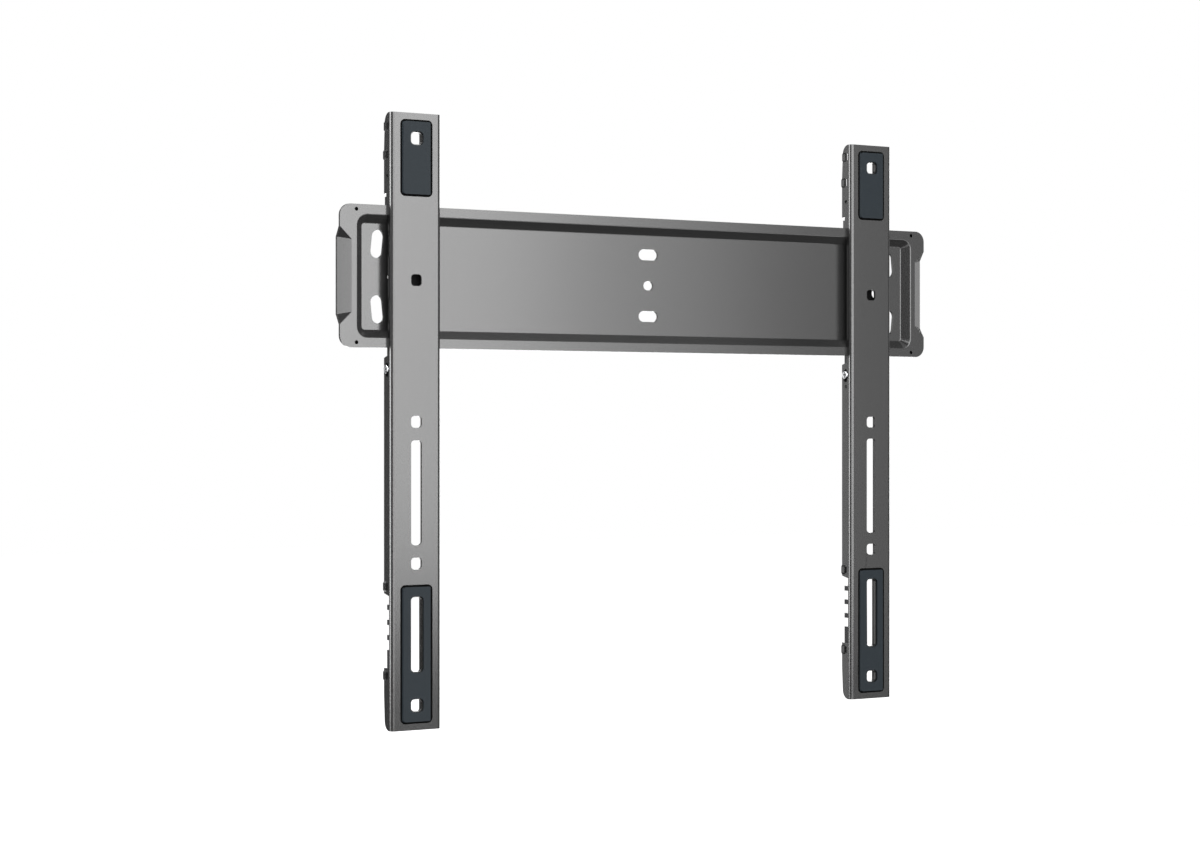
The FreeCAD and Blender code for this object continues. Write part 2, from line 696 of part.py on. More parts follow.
SQUARE_HOLES = [(f"{step} * hole_pitch", "hole_size") for step in (2, 1, 0, -1, -2)]
LONG_SLOTS = [("-0.5 * hole_pitch", "long_slot"), ("-1.5 * hole_pitch", "low_slot")]


def make_arm(name, side):
    """One folded arm."""
    body = make_body(f"{name}_arm", arm_place(side))
    add_channel(body)
    cut_side_outline(body)
    cut_side_openings(body)
    add_bridge(body, "top_bridge", "top_bridge_shift")
    for height in ("second_bridge", "(-third_bridge)", "(-fourth_bridge)"):
        add_bridge(body, height, "0")
    cut_openings(body, SQUARE_HOLES + LONG_SLOTS, "0", "hole_corner", f"{BEYOND} + arm_sheet")


def make_pad(label, side, low, high, levels):
    """A raised pad on the arm's front, with its openings."""
    body = make_body(label, arm_place(side))
    sketch = make_sketch(body, "XZ_Plane")
    rounded_box(sketch, "-pad_width / 2", "pad_width / 2", low, high, "pad_corner")
    pad(body, sketch, "pad_raise")
    dress(body, "Chamfer", "pad_edge", lambda edge: level(edge, "Y", "-pad_raise"))
    cut_openings(body, levels, "pad_clear", "pad_hole_corner")


# Lock slides


def slide_section(sketch):
    """The slide's section: front web, side walls and rear lips."""
    lip = "(slide_opening / 2)"
    lip_front = "(slide_depth - slide_sheet)"
    polygon(
        sketch,
        [
            (f"-{lip}", "slide_depth"),
            (f"-{SLIDE_X}", "slide_depth"),
            (f"-{SLIDE_X}", SLIDE_FRONT),
            (SLIDE_X, SLIDE_FRONT),
            (SLIDE_X, "slide_depth"),
            (lip, "slide_depth"),
            (lip, lip_front),
            (SLIDE_INSIDE, lip_front),
            (SLIDE_INSIDE, SLIDE_WEB),
            (f"-{SLIDE_INSIDE}", SLIDE_WEB),
            (f"-{SLIDE_INSIDE}", lip_front),
            (f"-{lip}", lip_front),
        ],
    )


def cut_nose(body):
    """The nose that stands behind the plate's rim, with a slanted tip."""
    sketch = make_sketch(body, "YZ_Plane")
    nose_front = f"({RIM_BACK} + run_gap)"
    above = f"({NOSE_TIP} + {BEYOND})"
    polygon(
        sketch,
        [
            ("0", SLIDE_SEAT),
            (nose_front, SLIDE_SEAT),
            (nose_front, f"({NOSE_TIP} - nose_lead)"),
            (f"({nose_front} + nose_lead)", NOSE_TIP),
            (f"({nose_front} + nose_lead)", above),
            ("0", above),
        ],
    )
    pocket(body, sketch, way="Symmetric")


def cut_comb(body):
    """The gaps between the grips at the slide's bottom, repeated down the slide."""
    sketch = make_sketch(body, "YZ_Plane")
    far = f"(arm_depth + {BEYOND})"
    top = "(comb_gap - comb_top)"
    polygon(sketch, [("comb_floor", "-comb_top"), (far, "-comb_top"), (far, top), ("comb_floor", top)])
    first = pocket(body, sketch, way="Symmetric")
    pattern = body.newObject("PartDesign::LinearPattern", f"{body.Name}_comb")
    pattern.Originals = [first]
    pattern.Direction = (sketch, ["V_Axis"])
    pattern.Reversed = True
    pattern.Mode = "Spacing"
    bind(pattern, "Offset", "comb_pitch")
    bind(pattern, "Occurrences", "comb_count")
    body.Tip = pattern
    doc.recompute()


def cut_web(body):
    """The long opening of the front web, which leaves a tie at the top and one at the bottom."""
    sketch = make_sketch(body, "XZ_Plane", f"({BEYOND} - {SLIDE_FRONT})")
    half = "(slide_opening / 2)"
    low = "(lower_tie - slide_bottom)"
    high = f"({SLIDE_SEAT} - upper_tie)"
    polygon(sketch, [(f"-{half}", low), (half, low), (half, high), (f"-{half}", high)])
    pocket(body, sketch, f"slide_sheet + {BEYOND}")


def add_screw_bosses(body):
    """The spring's shelf, the screw bosses inside the walls, and their bores."""
    shelf = make_sketch(body, "XY_Plane", SHELF_TOP)
    depth = "(slide_depth - slide_sheet)"
    polygon(
        shelf,
        [
            (f"-{SLIDE_INSIDE}", SLIDE_WEB),
            (SLIDE_INSIDE, SLIDE_WEB),
            (SLIDE_INSIDE, depth),
            (f"-{SLIDE_INSIDE}", depth),
        ],
    )
    pad(body, shelf, "slide_sheet", turned=True)
    for way in (False, True):
        offset = f"{'-' if way else ''}({SLIDE_INSIDE} - boss_length)"
        boss = make_sketch(body, "YZ_Plane", offset)
        half = "(screw_shank / 2 + boss_wall)"
        front, rear = f"(screw_depth - {half})", f"(screw_depth + {half})"
        low, high = f"(screw_height - {half})", f"(screw_height + {half})"
        polygon(boss, [(front, low), (rear, low), (rear, high), (front, high)])
        pad(body, boss, "boss_length + slide_sheet / 2", turned=way)
    bore = make_sketch(body, "YZ_Plane")
    disc(bore, "screw_depth", "screw_height", "(screw_shank + 2 * screw_fit)")
    half = "(side_hole / 2 + run_gap)"
    front, rear = f"(side_hole_depth - {half})", f"(side_hole_depth + {half})"
    low, high = f"(spring_pin_height - {half})", f"(spring_pin_height + slide_travel + {half})"
    polygon(bore, [(front, low), (rear, low), (rear, high), (front, high)])
    pocket(body, bore, way="Symmetric")


def make_slide(name, side):
    """A lock slide: nose at the top, grips at the bottom."""
    body = make_body(f"{name}_lock_slide", arm_place(side))
    sketch = make_sketch(body, "XY_Plane", "-slide_bottom")
    slide_section(sketch)
    pad(body, sketch, f"slide_bottom + {NOSE_TIP}")
    dress(body, "Chamfer", "slide_edge", lambda edge: upright(edge, "z") and level(edge, "Y", SLIDE_FRONT))
    cut_nose(body)
    cut_web(body)
    cut_comb(body)
    add_screw_bosses(body)


# Screws, pins and springs


def make_screw(label, side, way):
    """A guide screw: a flat round head with a cross recess, and a shank through the arm's wall."""
    body = make_body(label, arm_place(side, f"{way} * ({WALL_X} + run_gap)", "screw_depth", "screw_height"))
    turned = way < 0
    head = make_sketch(body, "YZ_Plane")
    disc(head, "0", "0", "screw_head")
    pad(body, head, "screw_head_height", turned=turned)
    shank = make_sketch(body, "YZ_Plane")
    disc(shank, "0", "0", "screw_shank")
    pad(body, shank, "run_gap + arm_sheet + slide_gap + slide_sheet + boss_length", turned=not turned)
    recess = make_sketch(body, "YZ_Plane", f"{way} * (screw_head_height + {BEYOND})")
    half, arm = "(screw_recess_width / 2)", "(screw_recess / 2)"
    polygon(
        recess,
        [
            (f"-{half}", f"-{arm}"),
            (half, f"-{arm}"),
            (half, f"-{half}"),
            (arm, f"-{half}"),
            (arm, half),
            (half, half),
            (half, arm),
            (f"-{half}", arm),
            (f"-{half}", half),
            (f"-{arm}", half),
            (f"-{arm}", f"-{half}"),
            (f"-{half}", f"-{half}"),
        ],
    )
    pocket(body, recess, f"screw_recess_depth + {BEYOND}", turned=turned)


def make_pin(name, side):
    """The cross pin under the spring."""
    body = make_body(f"{name}_spring_pin", arm_place(side, "0", "side_hole_depth", "spring_pin_height"))
    sketch = make_sketch(body, "YZ_Plane")
    disc(sketch, "0", "0", "(side_hole - 2 * pin_fit)")
    pad(body, sketch, "arm_width", way="Symmetric")


def make_spring(name, side):
    """The compression spring that pushes the slide up: a helix in short straight runs, with a six-sided wire."""
    coil = (number("spring_width") - number("spring_wire")) / 2
    rise = number(f"{SPRING_HEAD} - {SPRING_FOOT} - spring_wire")
    turns = number("spring_turns")
    runs = round(turns * RUNS_PER_TURN)
    points = []
    for step in range(runs + 1):
        angle = 2 * math.pi * turns * step / runs
        height = number("spring_wire / 2") + rise * step / runs
        points.append(FreeCAD.Vector(coil * math.cos(angle), coil * math.sin(angle), height))
    sweep = Part.BRepOffsetAPI.MakePipeShell(Part.makePolygon(points))
    sweep.setTransitionMode(1)
    sweep.add(wire_section(points, number("spring_wire") / 2))
    sweep.build()
    sweep.makeSolid()
    spring = doc.addObject("Part::Feature", f"{name}_lock_spring")
    spring.Label = f"{name}_lock_spring"
    spring.Shape = sweep.shape()
    place = arm_place(side, "0", "side_hole_depth", SPRING_FOOT)
    spring.Placement = FreeCAD.Placement(FreeCAD.Vector(*(number(item) for item in place)), FreeCAD.Rotation())
    NODES.append(spring)


def wire_section(points, size):
    """The six-sided section of a wire at its start, square to its first run."""
    along = (points[1] - points[0]).normalize()
    outward = FreeCAD.Vector(points[0].x, points[0].y, 0).normalize()
    across = along.cross(outward)
    corners = []
    for step in range(6):
        angle = math.pi * step / 3
        corners.append(points[0] + (outward * math.cos(angle) + across * math.sin(angle)) * size)
    return Part.makePolygon(corners + corners[:1])


def check_model():
    """Every object has worked out, and every piece is one valid solid."""
    for item in doc.Objects:
        if "Invalid" in item.State or "Error" in item.State:
            raise RuntimeError(f"{item.Label} failed: {item.State}")
    for body in NODES:
        shape = body.Shape
        if shape.isNull() or not shape.isValid() or len(shape.Solids) != 1:
            raise RuntimeError(f"{body.Label} isn't one valid solid")


def write_parts():
    """One file for each piece."""
    os.makedirs("parts", exist_ok=True)
    for body in NODES:
        body.Shape.exportStep(f"parts/{body.Label}.step")


make_wall_plate()
for name, side in (("left", -1), ("right", 1)):
    make_arm(name, side)
    make_pad(
        f"{name}_upper_pad",
        side,
        "(arm_top - upper_pad_top - upper_pad_height)",
        "(arm_top - upper_pad_top)",
        [SQUARE_HOLES[0]],
    )
    make_pad(
        f"{name}_lower_pad",
        side,
        "(lower_pad_bottom - arm_bottom)",
        "(lower_pad_bottom + lower_pad_height - arm_bottom)",
        [SQUARE_HOLES[4], LONG_SLOTS[1]],
    )
    make_slide(name, side)
    make_screw(f"{name}_outer_screw", side, side)
    make_screw(f"{name}_inner_screw", side, -side)
    make_pin(name, side)
    make_spring(name, side)
doc.recompute()
check_model()
write_parts()
for body in NODES:
    print(body.Label, round(body.Shape.Volume, 1), body.Shape.BoundBox)
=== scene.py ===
"""A fixed wall bracket for a flat television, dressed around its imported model, in a plain white studio."""

import json
import math

import bmesh
import bpy
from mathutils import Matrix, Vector


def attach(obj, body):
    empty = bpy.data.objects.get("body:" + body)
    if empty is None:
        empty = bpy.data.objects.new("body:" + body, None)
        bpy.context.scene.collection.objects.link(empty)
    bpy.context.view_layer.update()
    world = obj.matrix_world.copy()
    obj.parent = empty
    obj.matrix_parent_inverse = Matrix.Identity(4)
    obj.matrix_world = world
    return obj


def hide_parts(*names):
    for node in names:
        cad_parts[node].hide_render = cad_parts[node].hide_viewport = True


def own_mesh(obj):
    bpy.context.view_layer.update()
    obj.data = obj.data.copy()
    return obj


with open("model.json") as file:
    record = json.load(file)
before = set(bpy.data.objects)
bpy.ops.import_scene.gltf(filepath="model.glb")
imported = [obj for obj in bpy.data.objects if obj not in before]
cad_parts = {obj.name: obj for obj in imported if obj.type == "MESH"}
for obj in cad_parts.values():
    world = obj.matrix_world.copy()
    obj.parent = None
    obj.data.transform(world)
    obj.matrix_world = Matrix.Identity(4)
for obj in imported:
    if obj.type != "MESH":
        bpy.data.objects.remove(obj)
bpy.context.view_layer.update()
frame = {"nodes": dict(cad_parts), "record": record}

bl_info = {
    "name": "Fixed Wall Bracket",
    "version": (1, 0, 0),
    "blender": (4, 5, 0),
    "location": "3D View > Sidebar > Bracket",
    "description": "Dresses a wall bracket for a flat television and sets its studio",
    "category": "Object",
}

MM = 0.001
SIDES = ("left", "right")
NODE_BODIES = {
    node: body for body, nodes in frame["record"]["behaviour"]["bodies"].items() for node in nodes
}

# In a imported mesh, points this near are one, and faces this near to one plane are one face
DOUBLE_GAP = 0.002 * MM
FLAT_ANGLE = math.radians(0.4)

# An arm's middle, and the back of its sheet
ARM_X = 200.0 * MM
SHEET_BACK = -11.2 * MM
# Openings lie this near to the middle of an arm, and their corners are edges this straight, and this sharp
# in radians
OPENING_REACH = 5.2 * MM
OPENING_SLANT = 0.01 * MM
OPENING_ANGLE = 0.5
# How far the openings' corners are rounded in the arms and in the pads
ARM_CORNER = 0.8 * MM
PAD_CORNER = 1.0 * MM

# The blind dimples of the rim's corners, whose hollows are painted black as shade: their middles, their
# width and the depths between which they lie
DIMPLE_X = 244.0 * MM
DIMPLE_Z = 46.6 * MM
DIMPLE_WIDTH = 2.7 * MM
DIMPLE_REACH = 0.55 * DIMPLE_WIDTH
DIMPLE_FRONT = -7.7 * MM
DIMPLE_BACK = -6.0 * MM

# How far the left walls of a pad's openings stand back
OPENING_STEP = 0.5 * MM
# A pad's dark outline stands for shade that the photograph shows from its own angle, so its sides differ:
# the depth of its border on the left slope, and its ring on the front beside the right slope
OUTLINE_LEVEL = -14.2 * MM
OUTLINE_RING = 0.7 * MM
# A pad's slope, the round of its corners, and the least turn of a face away from the front
OUTLINE_SLOPE = 1.5 * MM
OUTLINE_CORNER = 3.6 * MM
OUTLINE_TURN = -0.9

# Each opening behind a pad: its lower and upper end, and how far its lining stands out behind the sheet
COLLARS = {
    "upper": ((93.65 * MM, 101.95 * MM, 2.1 * MM),),
    "lower": ((-306.35 * MM, -298.05 * MM, 2.6 * MM), (-278.45 * MM, -225.95 * MM, 2.4 * MM)),
}
COLLAR_WALL = 1.0 * MM
COLLAR_HALF = 4.2 * MM
COLLAR_CORNER = 1.2 * MM
COLLAR_EDGE = 0.15 * MM

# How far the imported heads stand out, and how far the rounded ones do
SCREW_STAND = 1.1 * MM
SCREW_HEAD = 0.8 * MM
# The cross recess: its length, the width and depth of its grooves, and the rim kept out of its black painted
# shade
SCREW_RECESS = 3.8 * MM
SCREW_GROOVE = 0.9 * MM
SCREW_GROOVE_DEPTH = 0.6 * MM
RECESS_REACH = 0.55 * SCREW_RECESS
RECESS_LIP = 0.15 * MM
SCREW_EDGE = 0.08 * MM
# The shank's radius and neck, and as shares of that radius its blunt tip, the tip's slope and its collar
SHANK = 1.5 * MM
SHANK_NECK = 0.1 * MM
SHANK_TIP = 0.8
SHANK_SLOPE = 0.2
SHANK_COLLAR = 1.1
# The head's outline from its underside, as shares of its height and of its radius
HEAD_OUTLINE = ((0, 0.96), (0.1, 1), (0.45, 1), (0.75, 0.96), (0.94, 0.9), (1, 0.82), (1, 0.4), (1, 0))

PIN_EDGE = 0.1 * MM

SPRING_TURNS = 4.5
SPRING_WIRE = 0.8 * MM
COIL_STEPS = 32
WIRE_STEPS = 12

# How much a finish's gloss varies, and the fine grain's share of its tone, beside broad clouds
GLOSS_SPREAD = 0.08
FINE_SHARE = 0.5

# The lights stand around the bracket at this distance
LIGHT_DISTANCE = 2.0
# Each light: name, its two bearings in degrees from straight ahead towards the left, its lower and upper
# edge, and its strength in watts for each square metre
LIGHTS = (
    ("back_right", 200, 240, -0.9, 0.6, 16.0),
    ("back", 172, 198, -0.9, 0.3, 15.0),
    ("behind_left", 124, 137, -0.6, 1.7, 13.0),
    ("back_left", 97, 123, -0.6, 1.7, 50.0),
    ("left", 78, 97, -0.6, 1.7, 8.0),
    ("front_left", 15, 40, -0.6, 1.7, 26.0),
    ("front", -10, 15, -0.6, 1.7, 26.5),
    ("front_right", -20, -10, -0.45, 1.3, 33.0),
    ("key", -28, -20, -0.45, 1.3, 29.5),
    ("key_edge", -36, -28, -0.45, 1.3, 13.0),
    ("far_edge", -48, -36, -0.6, 1.3, 3.6),
    ("right", -110, -85, -0.6, 1.7, 5.0),
    ("low_left", 0, 40, -1.9, -0.75, 10.0),
    ("low_right", -60, 0, -1.9, -0.75, 12.0),
)
# The lights face this point
LIT_POINT = (0.0, 0.0, -0.1)
# The light overhead: its middle, width, depth and strength
OVERHEAD = ((0.8, -0.3, 2.0), 2.0, 1.2, 3.0)
# The narrow light close behind, which the right arm's side wall mirrors
CLOSE_BEHIND = ((-0.35, 0.8, -0.1), 0.14, 1.2, 6.5)

# The floor reaches this far each way
FLOOR_REACH = 8.0
FLOOR_COLOUR = (0.9, 0.9, 0.9, 1)
FLOOR_ROUGHNESS = 0.9
WHITE = (1, 1, 1, 1)
# The camera's sensor, in millimetres
SENSOR_WIDTH = 36


# Settings that a user would change


def colour(name, description, default):
    """A colour setting."""
    return bpy.props.FloatVectorProperty(
        name=name, description=description, default=default, subtype="COLOR", size=3, min=0, max=1
    )


def length(name, description, default):
    """A length setting, in metres."""
    return bpy.props.FloatProperty(
        name=name, description=description, default=default, min=0, unit="LENGTH", precision=5
    )


def share(name, description, default):
    """A setting between nothing and all."""
    return bpy.props.FloatProperty(
        name=name, description=description, default=default, min=0, max=1, subtype="FACTOR"
    )


class BracketSteel(bpy.types.PropertyGroup):
    """The folded and pressed sheet, and its powder coat."""

    coat_colour: colour("Coat", "Colour of the powder coat", (0.012, 0.012, 0.012))
    coat_roughness: share("Coat roughness", "How matt the powder coat is", 0.2)
    grain_size: length("Grain", "Width of the powder coat's grain", 0.5 * MM)
    grain_depth: length("Grain depth", "Height of the powder coat's grain", 0.00025 * MM)
    edge_round: length("Edge", "Rounding of the sheet's cut edges", 0.25 * MM)


class BracketPads(bpy.types.PropertyGroup):
    """The pads on the arms' fronts."""

    pad_colour: colour("Pad", "Colour of the pads", (0.0050, 0.0076, 0.0098))
    pad_roughness: share("Pad roughness", "How matt the pads are", 0.58)
    pad_round: length("Pad edge", "Rounding of the pads' edges", 0.35 * MM)


class BracketLocks(bpy.types.PropertyGroup):
    """The lock slides, screws, pins and springs."""

    plastic_colour: colour("Plastic", "Colour of the moulded slides", (0.006, 0.006, 0.0065))
    plastic_roughness: share("Plastic roughness", "How matt the slides are", 0.38)
    zinc_colour: colour("Zinc", "Colour of the plated screws", (0.36, 0.365, 0.375))
    spring_colour: colour("Spring", "Colour of the spring wire", (0.45, 0.45, 0.46))
    pin_colour: colour("Pin", "Colour of the blackened pins", (0.004, 0.004, 0.004))
    moulded_round: length("Moulded edge", "Rounding of the slides' edges", 0.3 * MM)


class BracketStudio(bpy.types.PropertyGroup):
    """The camera and the studio."""

    lens: bpy.props.FloatProperty(
        name="Lens", description="Focal length", default=75.02, min=1,
        subtype="DISTANCE_CAMERA", unit="CAMERA",
    )
    turn: bpy.props.FloatProperty(
        name="Turn", description="How far the view turns to the right of straight ahead",
        default=math.radians(30.94), subtype="ANGLE",
    )
    eye: bpy.props.FloatVectorProperty(
        name="Eye", description="Where the camera stands", default=(-0.99616, -1.5933, -0.10409),
        size=3, subtype="TRANSLATION", unit="LENGTH",
    )
    floor_drop: length("Floor", "How far the floor lies below the wall bolts", 0.62)
    room_light: share("Room light", "Even light from the white room", 0.0)


# Shapes


def opened(mesh):
    """A mesh's shape, ready to be changed."""
    shape = bmesh.new()
    shape.from_mesh(mesh)
    return shape


def closed(shape, mesh):
    """Puts a changed shape into a mesh."""
    shape.to_mesh(mesh)
    shape.free()
    return mesh


def merged_copy(node):
    """A CAD node's mesh with its loose triangles joined, and its flat faces made whole."""
    shape = opened(frame["nodes"][node].data)
    bmesh.ops.remove_doubles(shape, verts=shape.verts, dist=DOUBLE_GAP)
    bmesh.ops.dissolve_limit(
        shape, angle_limit=FLAT_ANGLE, verts=shape.verts, edges=shape.edges, delimit={"NORMAL"}
    )
    return closed(shape, bpy.data.meshes.new(node))


def arm_middle(side):
    """Where the middle of an arm is from left to right."""
    return ARM_X if side == "right" else -ARM_X


def round_openings(mesh, middle, width):
    """Rounds the cut corners of the openings along the middle of an arm."""
    shape = opened(mesh)
    corners = []
    for edge in shape.edges:
        first, last = (vert.co for vert in edge.verts)
        straight = math.hypot(first.x - last.x, first.z - last.z) < OPENING_SLANT
        if straight and abs(first.x - middle) < OPENING_REACH and edge.calc_face_angle(0) > OPENING_ANGLE:
            corners.append(edge)
    bmesh.ops.bevel(shape, geom=corners, offset=width, segments=2, profile=0.5, affect="EDGES")
    return closed(shape, mesh)


def extent(node):
    """The lowest and highest corner of a CAD node."""
    points = [vert.co for vert in frame["nodes"][node].data.vertices]
    low = Vector(min(point[axis] for point in points) for axis in range(3))
    high = Vector(max(point[axis] for point in points) for axis in range(3))
    return low, high


def turned(name, profile, steps=32):
    """A shape turned about the X axis from its (x, radius) points, whose ends lie on the axis."""
    shape = bmesh.new()
    rings = []
    for x, radius in profile:
        if radius == 0:
            rings.append([shape.verts.new((x, 0, 0))])
            continue
        angles = [2 * math.pi * step / steps for step in range(steps)]
        rings.append([shape.verts.new((x, radius * math.cos(a), radius * math.sin(a))) for a in angles])
    for here, there in zip(rings, rings[1:]):
        for step in range(steps):
            following = (step + 1) % steps
            corners = [here[step % len(here)], there[step % len(there)]]
            corners += [there[following % len(there)], here[following % len(here)]]
            shape.faces.new(dict.fromkeys(corners))
    bmesh.ops.recalc_face_normals(shape, faces=shape.faces)
    return closed(shape, bpy.data.meshes.new(name))


def cuboid(name, middle, size):
    """A box of a size about its middle."""
    shape = bmesh.new()
    bmesh.ops.create_cube(shape, size=1)
    bmesh.ops.scale(shape, vec=size, verts=shape.verts)
    bmesh.ops.translate(shape, vec=middle, verts=shape.verts)
    return new_piece(name, closed(shape, bpy.data.meshes.new(name)))


def rounded_loop(middle, half, low, high, corner, steps=5):
    """The (x, z) points of a rectangle with round corners."""
    points = []
    centres = ((1, high), (-1, high), (-1, low), (1, low))
    for quarter, (way, level) in enumerate(centres):
        x = middle + way * (half - corner)
        z = level - corner if level == high else level + corner
        for step in range(steps + 1):
            angle = math.pi / 2 * (quarter + step / steps)
            points.append((x + corner * math.cos(angle), z + corner * math.sin(angle)))
    return points


def cut(piece, cutter):
    """Takes the cutter's volume out of the piece."""
    change = piece.modifiers.new("cut", "BOOLEAN")
    change.object = cutter
    change.solver = "EXACT"
    freeze(piece)
    bpy.data.objects.remove(cutter)


def new_piece(name, mesh):
    """An object for a mesh that is already in place."""
    piece = bpy.data.objects.new(name, mesh)
    bpy.context.scene.collection.objects.link(piece)
    return piece


def freeze(piece):
    """Turns a piece with modifiers into a plain mesh."""
    graph = bpy.context.evaluated_depsgraph_get()
    made = bpy.data.meshes.new_from_object(piece.evaluated_get(graph), depsgraph=graph)
    piece.modifiers.clear()
    piece.data = made
    return piece


def soften(piece, width, steps, angle):
    """Rounds a piece's edges and shades it smoothly."""
    for face in piece.data.polygons:
        face.use_smooth = True
    bevel = piece.modifiers.new("edges", "BEVEL")
    bevel.width = width
    bevel.segments = steps
    bevel.limit_method = "ANGLE"
    bevel.angle_limit = math.radians(angle)
    bevel.miter_outer = "MITER_ARC"
    evened = piece.modifiers.new("normals", "WEIGHTED_NORMAL")
    evened.keep_sharp = False
    evened.weight = 80
    return freeze(piece)


def finish(piece, *materials):
    """Gives a piece its materials, the first of them all over."""
    piece.data.materials.clear()
    for material in materials:
        piece.data.materials.append(material)


def hang(piece, nodes, *materials):
    """The piece stands for CAD nodes of one body, moves with that body and takes their finish."""
    finish(piece, *materials)
    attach(piece, NODE_BODIES[nodes[0]])
    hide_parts(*nodes)
    return piece


# Node trees for the shapes


def add_node(tree, kind, **inputs):
    """A node with its inputs set by name."""
    node = tree.nodes.new(kind)
    for name, value in inputs.items():
        node.inputs[name.replace("_", " ")].default_value = value
    return node


def new_tree(name, sockets):
    """A geometry node group with its inputs, and the names by which a modifier sets them."""
    tree = bpy.data.node_groups.new(name, "GeometryNodeTree")
    keys = {}
    for label, kind in sockets:
        keys[label] = tree.interface.new_socket(label, in_out="INPUT", socket_type=kind).identifier
    tree.interface.new_socket("Geometry", in_out="OUTPUT", socket_type="NodeSocketGeometry")
    return tree, keys


def end_tree(tree, given, made):
    """Makes a tree's geometry whole, gives it its finish and puts it out."""
    whole = tree.nodes.new("GeometryNodeRealizeInstances")
    paint = tree.nodes.new("GeometryNodeSetMaterial")
    put = tree.nodes.new("NodeGroupOutput")
    tree.links.new(made, whole.inputs["Geometry"])
    tree.links.new(whole.outputs[0], paint.inputs["Geometry"])
    tree.links.new(given.outputs["Finish"], paint.inputs["Material"])
    tree.links.new(paint.outputs[0], put.inputs[0])


def grow(name, tree, keys, values):
    """A piece made by a geometry node group from its input values, as a plain mesh."""
    piece = new_piece(name, bpy.data.meshes.new(name))
    growth = piece.modifiers.new("nodes", "NODES")
    growth.node_group = tree
    for label, value in values.items():
        growth[keys[label]] = value
    return freeze(piece)


def spring_tree():
    """Round wire wound into a coil that stands on its first turn."""
    tree, keys = new_tree("wound spring", (
        ("Turns", "NodeSocketFloat"), ("Radius", "NodeSocketFloat"), ("Height", "NodeSocketFloat"),
        ("Wire", "NodeSocketFloat"), ("Foot", "NodeSocketVector"), ("Finish", "NodeSocketMaterial"),
    ))
    given = tree.nodes.new("NodeGroupInput")
    coil = add_node(tree, "GeometryNodeCurveSpiral", Resolution=COIL_STEPS)
    wire = add_node(tree, "GeometryNodeCurvePrimitiveCircle", Resolution=WIRE_STEPS)
    sweep = add_node(tree, "GeometryNodeCurveToMesh", Fill_Caps=True)
    stand = tree.nodes.new("GeometryNodeTransform")
    smooth = tree.nodes.new("GeometryNodeSetShadeSmooth")
    join = tree.links.new
    join(given.outputs["Turns"], coil.inputs["Rotations"])
    join(given.outputs["Radius"], coil.inputs["Start Radius"])
    join(given.outputs["Radius"], coil.inputs["End Radius"])
    join(given.outputs["Height"], coil.inputs["Height"])
    join(given.outputs["Wire"], wire.inputs["Radius"])
    join(coil.outputs[0], sweep.inputs["Curve"])
    join(wire.outputs[0], sweep.inputs["Profile Curve"])
    join(sweep.outputs[0], stand.inputs["Geometry"])
    join(given.outputs["Foot"], stand.inputs["Translation"])
    join(stand.outputs[0], smooth.inputs["Geometry"])
    end_tree(tree, given, smooth.outputs[0])
    return tree, keys


def screw_tree():
    """One screw set at both ends of a line, its head outward."""
    tree, keys = new_tree("pair of screws", (
        ("Screw", "NodeSocketObject"), ("Inner", "NodeSocketVector"), ("Outer", "NodeSocketVector"),
        ("Finish", "NodeSocketMaterial"),
    ))
    given = tree.nodes.new("NodeGroupInput")
    line = add_node(tree, "GeometryNodeMeshLine", Count=2)
    line.mode = "END_POINTS"
    shape = tree.nodes.new("GeometryNodeObjectInfo")
    index = tree.nodes.new("GeometryNodeInputIndex")
    turn = tree.nodes.new("ShaderNodeMath")
    turn.operation = "MULTIPLY"
    turn.inputs[1].default_value = math.pi
    angles = tree.nodes.new("ShaderNodeCombineXYZ")
    placed = tree.nodes.new("GeometryNodeInstanceOnPoints")
    join = tree.links.new
    join(given.outputs["Outer"], line.inputs["Start Location"])
    join(given.outputs["Inner"], line.inputs["Offset"])
    join(given.outputs["Screw"], shape.inputs["Object"])
    join(index.outputs[0], turn.inputs[0])
    join(turn.outputs[0], angles.inputs["Z"])
    join(line.outputs[0], placed.inputs["Points"])
    join(shape.outputs["Geometry"], placed.inputs["Instance"])
    join(angles.outputs[0], placed.inputs["Rotation"])
    end_tree(tree, given, placed.outputs[0])
    return tree, keys


# Finishes


